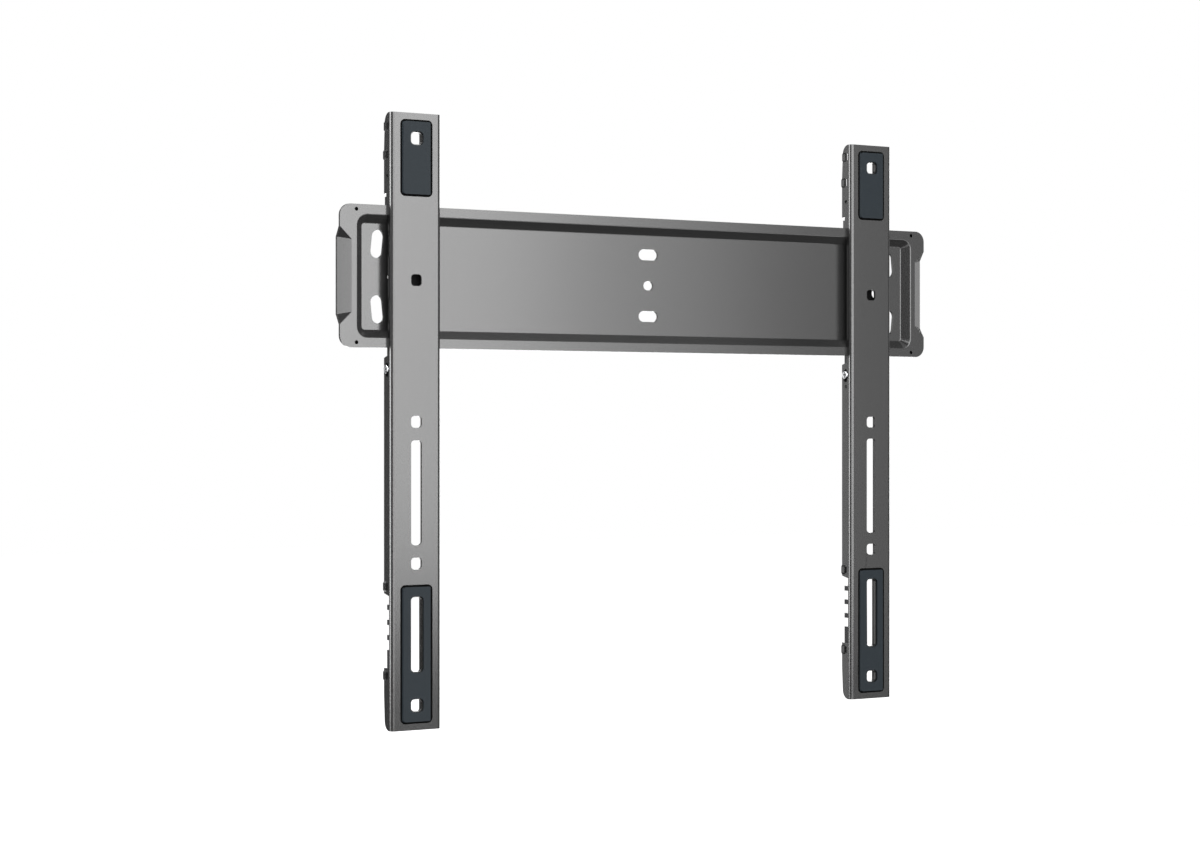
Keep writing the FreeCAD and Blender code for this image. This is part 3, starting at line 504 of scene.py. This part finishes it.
def grain_group():
    """Fine surface grain: a speckled tone, an uneven gloss and small bumps."""
    name = "surface grain"
    if name in bpy.data.node_groups:
        return bpy.data.node_groups[name]
    tree = bpy.data.node_groups.new(name, "ShaderNodeTree")
    takes = (
        ("Dark", "NodeSocketColor"), ("Light", "NodeSocketColor"), ("Size", "NodeSocketFloat"),
        ("Depth", "NodeSocketFloat"), ("Low Gloss", "NodeSocketFloat"), ("High Gloss", "NodeSocketFloat"),
    )
    gives = (("Color", "NodeSocketColor"), ("Roughness", "NodeSocketFloat"), ("Normal", "NodeSocketVector"))
    for way, sockets in (("INPUT", takes), ("OUTPUT", gives)):
        for label, kind in sockets:
            tree.interface.new_socket(label, in_out=way, socket_type=kind)
    given = tree.nodes.new("NodeGroupInput")
    put = tree.nodes.new("NodeGroupOutput")
    place = tree.nodes.new("ShaderNodeTexCoord")
    scale = tree.nodes.new("ShaderNodeMath")
    scale.operation = "DIVIDE"
    scale.inputs[0].default_value = 1.0
    fine = add_node(tree, "ShaderNodeTexNoise", Detail=2.0, Roughness=0.55)
    broad = add_node(tree, "ShaderNodeTexNoise", Scale=18.0, Detail=3.0, Roughness=0.6)
    clouds = tree.nodes.new("ShaderNodeMath")
    clouds.operation = "MULTIPLY"
    clouds.inputs[1].default_value = 1 - FINE_SHARE
    both = tree.nodes.new("ShaderNodeMath")
    both.operation = "MULTIPLY_ADD"
    both.inputs[1].default_value = FINE_SHARE
    tone = tree.nodes.new("ShaderNodeMix")
    tone.data_type = "RGBA"
    gloss = tree.nodes.new("ShaderNodeMapRange")
    bump = tree.nodes.new("ShaderNodeBump")
    join = tree.links.new
    join(given.outputs["Size"], scale.inputs[1])
    join(place.outputs["Object"], fine.inputs["Vector"])
    join(place.outputs["Object"], broad.inputs["Vector"])
    join(scale.outputs[0], fine.inputs["Scale"])
    join(broad.outputs["Fac"], clouds.inputs[0])
    join(fine.outputs["Fac"], both.inputs[0])
    join(clouds.outputs[0], both.inputs[2])
    join(both.outputs[0], tone.inputs["Factor"])
    join(given.outputs["Dark"], tone.inputs[6])
    join(given.outputs["Light"], tone.inputs[7])
    join(fine.outputs["Fac"], gloss.inputs["Value"])
    join(given.outputs["Low Gloss"], gloss.inputs["To Min"])
    join(given.outputs["High Gloss"], gloss.inputs["To Max"])
    join(fine.outputs["Fac"], bump.inputs["Height"])
    join(given.outputs["Depth"], bump.inputs["Distance"])
    join(tone.outputs[2], put.inputs["Color"])
    join(gloss.outputs["Result"], put.inputs["Roughness"])
    join(bump.outputs["Normal"], put.inputs["Normal"])
    return tree


def finish_material(name, tint, roughness, size, depth, spread=0.12, metallic=0.0, specular=0.5):
    """A finish with the shared grain on its own values."""
    if name in bpy.data.materials:
        return bpy.data.materials[name]
    material = bpy.data.materials.new(name)
    material.use_nodes = True
    tree = material.node_tree
    shader = tree.nodes["Principled BSDF"]
    grain = tree.nodes.new("ShaderNodeGroup")
    grain.node_tree = grain_group()
    values = {
        "Dark": (*(part * (1 - spread) for part in tint), 1),
        "Light": (*(part * (1 + spread) for part in tint), 1),
        "Size": size,
        "Depth": depth,
        "Low Gloss": roughness * (1 - GLOSS_SPREAD),
        "High Gloss": roughness * (1 + GLOSS_SPREAD),
    }
    for label, value in values.items():
        grain.inputs[label].default_value = value
    tree.links.new(grain.outputs["Color"], shader.inputs["Base Color"])
    tree.links.new(grain.outputs["Roughness"], shader.inputs["Roughness"])
    tree.links.new(grain.outputs["Normal"], shader.inputs["Normal"])
    shader.inputs["Metallic"].default_value = metallic
    shader.inputs["Specular IOR Level"].default_value = specular
    return material


def coat_material():
    """Anthracite powder coat with a fine grain."""
    steel = bpy.context.scene.bracket_steel
    return finish_material(
        "coat_finish", steel.coat_colour, steel.coat_roughness, size=steel.grain_size,
        depth=steel.grain_depth, spread=0.05,
    )


def painted_shade_material():
    """Painted shade: black for the dimples, the screws' recesses and the pads' outlines, standing in for the
    shade that falls there.
    """
    steel = bpy.context.scene.bracket_steel
    return finish_material(
        "painted_shade_black", (0.001, 0.001, 0.001), 0.9, size=steel.grain_size, depth=0.0, specular=0.02
    )


def pad_material():
    """Dark slate pad."""
    pads = bpy.context.scene.bracket_pads
    return finish_material(
        "pad_skin", pads.pad_colour, pads.pad_roughness, size=0.7 * MM, depth=0.002 * MM, specular=0.12
    )


def plastic_material():
    """Black moulded plastic."""
    locks = bpy.context.scene.bracket_locks
    return finish_material(
        "moulded_black", locks.plastic_colour, locks.plastic_roughness, size=0.9 * MM, depth=0.001 * MM,
        specular=0.2,
    )


def zinc_material():
    """Bright zinc plate."""
    locks = bpy.context.scene.bracket_locks
    return finish_material(
        "zinc_plate", locks.zinc_colour, roughness=0.24, size=0.25 * MM, depth=0.001 * MM, metallic=1.0
    )


def wire_material():
    """Drawn spring wire."""
    locks = bpy.context.scene.bracket_locks
    return finish_material(
        "spring_wire", locks.spring_colour, roughness=0.3, size=0.2 * MM, depth=0.001 * MM, metallic=1.0
    )


def pin_material():
    """Blackened steel."""
    locks = bpy.context.scene.bracket_locks
    return finish_material(
        "black_pin", locks.pin_colour, roughness=0.5, size=0.3 * MM, depth=0.001 * MM, specular=0.1
    )


# The wall plate


class BracketOperator:
    """What the bracket's operators share."""

    bl_options = {"REGISTER", "UNDO"}


class BRACKET_OT_plate(BracketOperator, bpy.types.Operator):
    """Dresses the pressed wall plate"""

    bl_idname = "bracket.plate"
    bl_label = "Wall Plate"

    def execute(self, context):
        piece = new_piece("wall_plate_sheet", merged_copy("wall_plate"))
        soften(piece, context.scene.bracket_steel.edge_round, steps=2, angle=24)
        hang(piece, ["wall_plate"], coat_material(), painted_shade_material())
        # Painted shade: the dimples' hollows are blackened.
        paint_dimple_shade(piece.data)
        return {"FINISHED"}


def paint_dimple_shade(mesh):
    """The dimples' walls and floors take the second finish, black painted shade."""
    for face in mesh.polygons:
        middle = face.center
        reach = math.hypot(abs(middle.x) - DIMPLE_X, abs(middle.z) - DIMPLE_Z)
        if reach < DIMPLE_REACH and DIMPLE_FRONT < middle.y < DIMPLE_BACK:
            face.material_index = 1


# The arms


class BRACKET_OT_arms(BracketOperator, bpy.types.Operator):
    """Dresses the two folded arms"""

    bl_idname = "bracket.arms"
    bl_label = "Arms"

    def execute(self, context):
        for side in SIDES:
            node = f"{side}_arm"
            mesh = round_openings(merged_copy(node), arm_middle(side), ARM_CORNER)
            piece = new_piece(f"{side}_arm_channel", mesh)
            soften(piece, context.scene.bracket_steel.edge_round, steps=2, angle=24)
            hang(piece, [node], coat_material())
        return {"FINISHED"}


# The pads, with the linings of their openings


class BRACKET_OT_pads(BracketOperator, bpy.types.Operator):
    """Dresses the four pads"""

    bl_idname = "bracket.pads"
    bl_label = "Pads"

    def execute(self, context):
        for side in SIDES:
            middle = arm_middle(side)
            for place, collars in COLLARS.items():
                node = f"{side}_{place}_pad"
                mesh = round_openings(merged_copy(node), middle, PAD_CORNER)
                widen_openings(mesh, middle)
                mark_shade_outline(mesh)
                piece = new_piece(f"{node}_skin", mesh)
                soften(piece, context.scene.bracket_pads.pad_round, steps=3, angle=24)
                hang(piece, [node], pad_material(), painted_shade_material())
                # Painted shade: the pad's outline is blackened, wider on the right.
                paint_outline_shade(piece.data, middle)
                for number, collar in enumerate(collars, start=1):
                    line_opening(f"{node}_collar_{number}", middle, *collar)
        return {"FINISHED"}


def widen_openings(mesh, middle):
    """The walls of a pad's openings on the left stand back from those of the sheet."""
    for vert in mesh.vertices:
        if -OPENING_REACH < vert.co.x - middle < 0:
            vert.co.x -= OPENING_STEP


def mark_shade_outline(mesh):
    """Cuts the borders of a pad's painted shade outline into its slopes and its front."""
    edge = max(vert.co.x for vert in mesh.vertices) - OUTLINE_SLOPE - OUTLINE_RING
    shape = opened(mesh)
    for place, way in (((0, OUTLINE_LEVEL, 0), (0, 1, 0)), ((edge, 0, 0), (1, 0, 0))):
        whole = [*shape.verts, *shape.edges, *shape.faces]
        bmesh.ops.bisect_plane(shape, geom=whole, plane_co=place, plane_no=way)
    closed(shape, mesh)


def paint_outline_shade(mesh, middle):
    """A pad's slopes take the second finish as painted shade: the left one only at its foot, the right one
    with a ring.
    """
    across = [vert.co.x - middle for vert in mesh.vertices]
    along = [vert.co.z for vert in mesh.vertices]
    half_width = max(across)
    half_height = (max(along) - min(along)) / 2
    level = (max(along) + min(along)) / 2
    for face in mesh.polygons:
        x, y, z = face.center
        side = abs(x - middle) - half_width + OUTLINE_CORNER
        end = abs(z - level) - half_height + OUTLINE_CORNER
        inward = OUTLINE_CORNER - math.hypot(max(side, 0), max(end, 0)) - min(max(side, end), 0)
        slope = inward < OUTLINE_SLOPE and face.normal.y > OUTLINE_TURN
        left_slope = slope and x < middle - OPENING_REACH and side > end
        ring = x > middle + half_width - OUTLINE_SLOPE - OUTLINE_RING
        if ring or slope and (y > OUTLINE_LEVEL or not left_slope):
            face.material_index = 1


def line_opening(name, middle, low, high, reach):
    """A pad's lining where it stands out behind an opening of the sheet."""
    inner = rounded_loop(middle, COLLAR_HALF, low, high, COLLAR_CORNER)
    outer_half = COLLAR_HALF + COLLAR_WALL
    outer_corner = COLLAR_CORNER + COLLAR_WALL
    outer = rounded_loop(middle, outer_half, low - COLLAR_WALL, high + COLLAR_WALL, outer_corner)
    shape = bmesh.new()
    loops = []
    for outline in (inner, outer):
        for depth in (SHEET_BACK, SHEET_BACK + reach):
            loops.append([shape.verts.new((x, depth, z)) for x, z in outline])
    inner_front, inner_back, outer_front, outer_back = loops
    count = len(inner)
    for here, there in (
        (inner_front, inner_back), (inner_back, outer_back),
        (outer_back, outer_front), (outer_front, inner_front),
    ):
        for step in range(count):
            following = (step + 1) % count
            shape.faces.new((here[step], here[following], there[following], there[step]))
    bmesh.ops.recalc_face_normals(shape, faces=shape.faces)
    piece = new_piece(name, closed(shape, bpy.data.meshes.new(name)))
    soften(piece, COLLAR_EDGE, steps=2, angle=30)
    finish(piece, plastic_material())
    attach(piece, "bracket")


# The locks: slides, guide screws, pins and springs


class BRACKET_OT_slides(BracketOperator, bpy.types.Operator):
    """Dresses the two lock slides"""

    bl_idname = "bracket.slides"
    bl_label = "Lock Slides"

    def execute(self, context):
        for side in SIDES:
            node = f"{side}_lock_slide"
            piece = new_piece(f"{side}_slide_body", merged_copy(node))
            soften(piece, context.scene.bracket_locks.moulded_round, steps=2, angle=30)
            hang(piece, [node], plastic_material())
        return {"FINISHED"}


class BRACKET_OT_screws(BracketOperator, bpy.types.Operator):
    """Dresses the guide screws"""

    bl_idname = "bracket.screws"
    bl_label = "Guide Screws"

    def execute(self, context):
        tree, keys = screw_tree()
        for side in SIDES:
            outer, inner = f"{side}_outer_screw", f"{side}_inner_screw"
            left = inner if side == "right" else outer
            right = outer if side == "right" else inner
            screw = turned_screw(right)
            values = {"Screw": screw, "Finish": zinc_material()}
            values["Outer"] = head_seat(right, 1)
            values["Inner"] = head_seat(left, -1)
            piece = grow(f"{side}_guide_screws", tree, keys, values)
            bpy.data.objects.remove(screw)
            hang(piece, [outer, inner], zinc_material(), painted_shade_material())
            # Painted shade: the heads' recesses are blackened.
            paint_recess_shade(piece.data)
        return {"FINISHED"}


def head_seat(node, way):
    """Where the underside of a screw's head lies, for a head that looks to the right or the left."""
    low, high = extent(node)
    seat = high.x - SCREW_STAND if way > 0 else low.x + SCREW_STAND
    return (seat, (low.y + high.y) / 2, (low.z + high.z) / 2)


def turned_screw(node):
    """A pan-head screw along the X axis, its head's underside at the origin, with a cross recess."""
    low, high = extent(node)
    head = (high.z - low.z) / 2
    tip = -(high.x - low.x - SCREW_STAND)
    profile = [(tip, 0), (tip, SHANK_TIP * SHANK), (tip + SHANK_SLOPE * SHANK, SHANK)]
    profile += [(-SHANK_NECK, SHANK), (0, SHANK_COLLAR * SHANK)]
    profile += [(rise * SCREW_HEAD, width * head) for rise, width in HEAD_OUTLINE]
    screw = new_piece("turned_screw", turned("turned_screw", profile))
    floor = SCREW_HEAD - SCREW_GROOVE_DEPTH
    middle = (floor + SCREW_HEAD, 0, 0)
    for size in ((SCREW_GROOVE, SCREW_RECESS), (SCREW_RECESS, SCREW_GROOVE)):
        cut(screw, cuboid("groove", middle, (2 * SCREW_HEAD, *size)))
    return soften(screw, SCREW_EDGE, steps=2, angle=35)


def paint_recess_shade(mesh):
    """The walls and floors of the heads' recesses take the second finish, black painted shade."""
    spans = []
    for axis in range(3):
        places = [vert.co[axis] for vert in mesh.vertices]
        spans.append((min(places), max(places)))
    (left, right), *across = spans
    for face in mesh.polygons:
        place = face.center
        depth = min(place.x - left, right - place.x)
        reach = math.hypot(place.y - sum(across[0]) / 2, place.z - sum(across[1]) / 2)
        if RECESS_LIP < depth < SCREW_HEAD and reach < RECESS_REACH:
            face.material_index = 1


class BRACKET_OT_pins(BracketOperator, bpy.types.Operator):
    """Dresses the cross pins"""

    bl_idname = "bracket.pins"
    bl_label = "Spring Pins"

    def execute(self, context):
        for side in SIDES:
            node = f"{side}_spring_pin"
            piece = new_piece(f"{side}_pin", merged_copy(node))
            soften(piece, PIN_EDGE, steps=2, angle=30)
            hang(piece, [node], pin_material())
        return {"FINISHED"}


class BRACKET_OT_springs(BracketOperator, bpy.types.Operator):
    """Winds the lock springs"""

    bl_idname = "bracket.springs"
    bl_label = "Lock Springs"

    def execute(self, context):
        tree, keys = spring_tree()
        wire = SPRING_WIRE / 2
        for side in SIDES:
            node = f"{side}_lock_spring"
            low, high = extent(node)
            middle = (low + high) / 2
            values = {"Turns": SPRING_TURNS, "Wire": wire, "Finish": wire_material()}
            values["Radius"] = (high.x - low.x) / 2 - wire
            values["Height"] = high.z - low.z - 2 * wire
            values["Foot"] = (middle.x, middle.y, low.z + wire)
            piece = grow(f"{side}_wound_spring", tree, keys, values)
            hang(piece, [node], wire_material())
            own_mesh(piece)
        return {"FINISHED"}


# The studio


class BRACKET_OT_studio(BracketOperator, bpy.types.Operator):
    """Sets the floor, the lights and the camera"""

    bl_idname = "bracket.studio"
    bl_label = "Studio"

    def execute(self, context):
        studio = context.scene.bracket_studio
        lay_floor(studio.floor_drop)
        for light in LIGHTS:
            stand_light(*light)
        hang_light("overhead", *OVERHEAD)
        hang_light("close_behind", *CLOSE_BEHIND)
        fill_room(context.scene, studio.room_light)
        place_camera(context.scene, studio)
        return {"FINISHED"}


def lay_floor(drop):
    """The pale floor, seen only directly, so that the steel doesn't mirror it."""
    corners = [(x * FLOOR_REACH, y * FLOOR_REACH, -drop) for x, y in ((-1, -1), (1, -1), (1, 1), (-1, 1))]
    mesh = bpy.data.meshes.new("floor")
    mesh.from_pydata(corners, [], [(0, 1, 2, 3)])
    floor = new_piece("floor", mesh)
    material = bpy.data.materials.new("floor_white")
    material.use_nodes = True
    shader = material.node_tree.nodes["Principled BSDF"]
    shader.inputs["Base Color"].default_value = FLOOR_COLOUR
    shader.inputs["Roughness"].default_value = FLOOR_ROUGHNESS
    shader.inputs["Emission Color"].default_value = WHITE
    shader.inputs["Emission Strength"].default_value = 1.0
    mesh.materials.append(material)
    floor.visible_glossy = False
    floor.visible_diffuse = False
    floor.visible_shadow = False


def stand_light(name, first, last, low, high, strength):
    """A soft window of light between two bearings."""
    middle = math.radians((first + last) / 2)
    width = 2 * LIGHT_DISTANCE * math.tan(math.radians(abs(last - first) / 2))
    place = (-LIGHT_DISTANCE * math.sin(middle), -LIGHT_DISTANCE * math.cos(middle), (low + high) / 2)
    hang_light(name, place, width, high - low, strength)


def hang_light(name, place, width, height, strength):
    """A soft window of light that faces the bracket."""
    lamp = bpy.data.lights.new(name, "AREA")
    lamp.shape = "RECTANGLE"
    lamp.size = width
    lamp.size_y = height
    lamp.energy = strength * width * height
    holder = bpy.data.objects.new(name, lamp)
    holder.location = place
    holder.rotation_euler = (Vector(LIT_POINT) - Vector(place)).to_track_quat("-Z", "Y").to_euler()
    bpy.context.scene.collection.objects.link(holder)


def fill_room(scene, strength):
    """White to look at, and an even light on the bracket."""
    world = bpy.data.worlds.new("white_room")
    scene.world = world
    world.use_nodes = True
    tree = world.node_tree
    tree.nodes.clear()
    seen = add_node(tree, "ShaderNodeBackground", Color=WHITE, Strength=1.0)
    light = add_node(tree, "ShaderNodeBackground", Color=WHITE, Strength=strength)
    path = tree.nodes.new("ShaderNodeLightPath")
    mix = tree.nodes.new("ShaderNodeMixShader")
    put = tree.nodes.new("ShaderNodeOutputWorld")
    tree.links.new(path.outputs["Is Camera Ray"], mix.inputs["Fac"])
    tree.links.new(light.outputs[0], mix.inputs[1])
    tree.links.new(seen.outputs[0], mix.inputs[2])
    tree.links.new(mix.outputs[0], put.inputs["Surface"])
    scene.view_settings.view_transform = "Standard"


def place_camera(scene, studio):
    """The camera at the photograph's angle, level."""
    lens = bpy.data.cameras.new("camera")
    lens.lens = studio.lens
    lens.sensor_width = SENSOR_WIDTH
    camera = bpy.data.objects.new("camera", lens)
    camera.location = studio.eye
    camera.rotation_euler = (math.radians(90), 0, -studio.turn)
    scene.collection.objects.link(camera)
    scene.camera = camera


# The panel and the add-on's registration


class BRACKET_PT_pieces(bpy.types.Panel):
    """The bracket's pieces and settings"""

    bl_idname = "BRACKET_PT_pieces"
    bl_label = "Fixed Wall Bracket"
    bl_space_type = "VIEW_3D"
    bl_region_type = "UI"
    bl_category = "Bracket"

    def draw(self, context):
        for operator in OPERATORS:
            self.layout.operator(operator.bl_idname)
        for name in SETTINGS:
            box = self.layout.box()
            group = getattr(context.scene, name)
            for prop in group.bl_rna.properties.keys():
                if prop not in ("rna_type", "name"):
                    box.prop(group, prop)


SETTINGS = {
    "bracket_steel": BracketSteel,
    "bracket_pads": BracketPads,
    "bracket_locks": BracketLocks,
    "bracket_studio": BracketStudio,
}
OPERATORS = (
    BRACKET_OT_plate,
    BRACKET_OT_arms,
    BRACKET_OT_pads,
    BRACKET_OT_slides,
    BRACKET_OT_screws,
    BRACKET_OT_pins,
    BRACKET_OT_springs,
    BRACKET_OT_studio,
)


def register():
    """Adds the settings, the operators and the panel."""
    for kind in (*SETTINGS.values(), *OPERATORS, BRACKET_PT_pieces):
        bpy.utils.register_class(kind)
    for name, kind in SETTINGS.items():
        setattr(bpy.types.Scene, name, bpy.props.PointerProperty(type=kind))


def unregister():
    """Takes them away again."""
    for name in SETTINGS:
        delattr(bpy.types.Scene, name)
    for kind in (BRACKET_PT_pieces, *reversed(OPERATORS), *reversed(SETTINGS.values())):
        bpy.utils.unregister_class(kind)


def main():
    """Builds every piece and the studio."""
    register()
    bpy.ops.bracket.plate()
    bpy.ops.bracket.arms()
    bpy.ops.bracket.pads()
    bpy.ops.bracket.slides()
    bpy.ops.bracket.screws()
    bpy.ops.bracket.pins()
    bpy.ops.bracket.springs()
    bpy.ops.bracket.studio()


if __name__ == "__main__":
    main()
